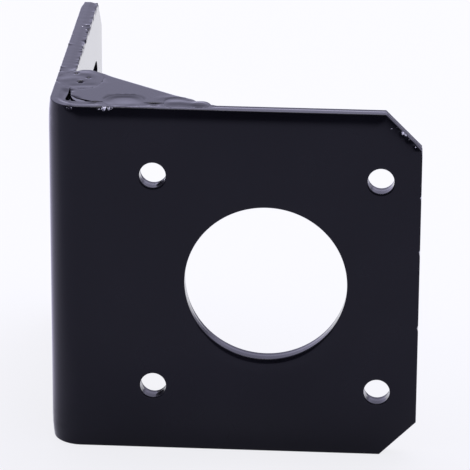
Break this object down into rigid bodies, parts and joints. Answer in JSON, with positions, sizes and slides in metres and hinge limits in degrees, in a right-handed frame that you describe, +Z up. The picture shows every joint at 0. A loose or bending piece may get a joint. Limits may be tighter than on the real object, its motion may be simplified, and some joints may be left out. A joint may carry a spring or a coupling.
{
  "type": "motor mounting bracket",
  "caption": "Folded steel angle bracket that holds a 42 mm stepper motor by its face, with welded corner gussets, a pilot bore, bolt holes and base slots.",
  "frame": {"origin": "centre of the pilot bore on the outer face of the motor plate", "axes": "+X across the motor plate away from the fold, +Y back along the base plate, +Z up along the fold as the bracket stands on its side edges"},
  "size_m": [0.051, 0.052, 0.0505],
  "materials": {
    "black_paint": "satin black paint over steel"
  },
  "bodies": {
    "root": {"bracket_plate": "black_paint", "upper_gusset": "black_paint", "lower_gusset": "black_paint", "upper_base_bead": "black_paint", "upper_middle_bead": "black_paint", "upper_tip_bead": "black_paint", "lower_base_bead": "black_paint", "lower_middle_bead": "black_paint", "lower_tip_bead": "black_paint"}
  },
  "joints": []
}
